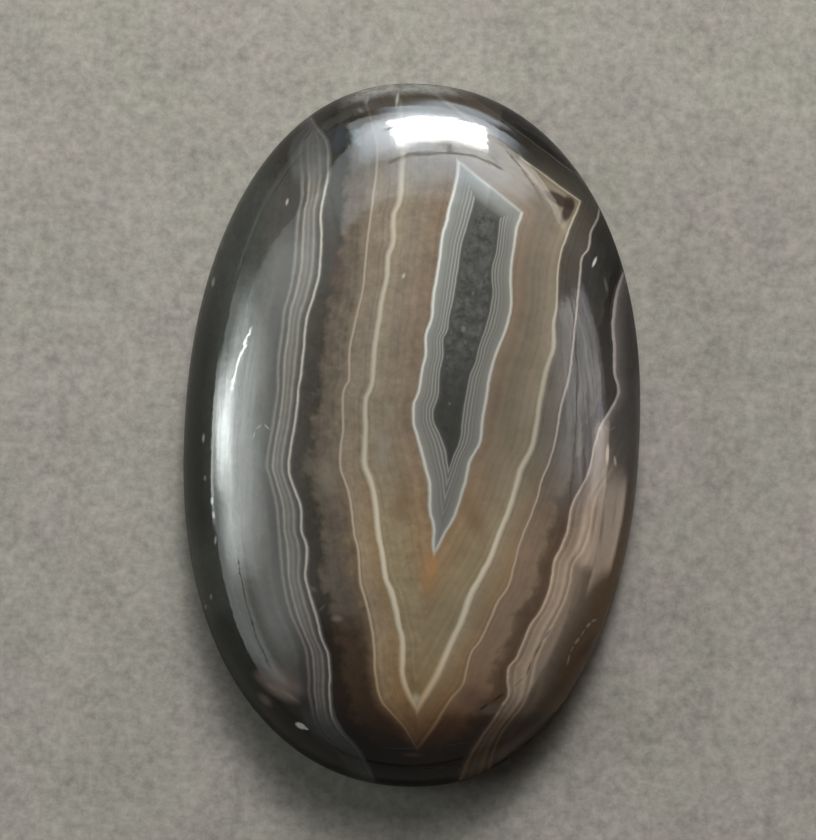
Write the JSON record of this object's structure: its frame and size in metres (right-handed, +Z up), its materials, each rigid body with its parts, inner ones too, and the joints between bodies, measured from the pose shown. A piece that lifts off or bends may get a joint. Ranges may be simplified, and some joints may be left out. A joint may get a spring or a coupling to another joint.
{
  "type": "banded agate cabochon",
  "caption": "Oval high-domed cabochon of dark smoky agate with nested white-edged bands, mirror polished, with a thin girdle and a bevelled flat back.",
  "frame": {"origin": "centre of the flat back, which the stone rests on", "axes": "+Y along the stone's length, +X across its width, +Z up through the dome"},
  "size_m": [0.0272, 0.042, 0.0089],
  "materials": {
    "agate": "mirror polish"
  },
  "bodies": {
    "root": {"agate_cabochon": "agate"}
  },
  "joints": []
}
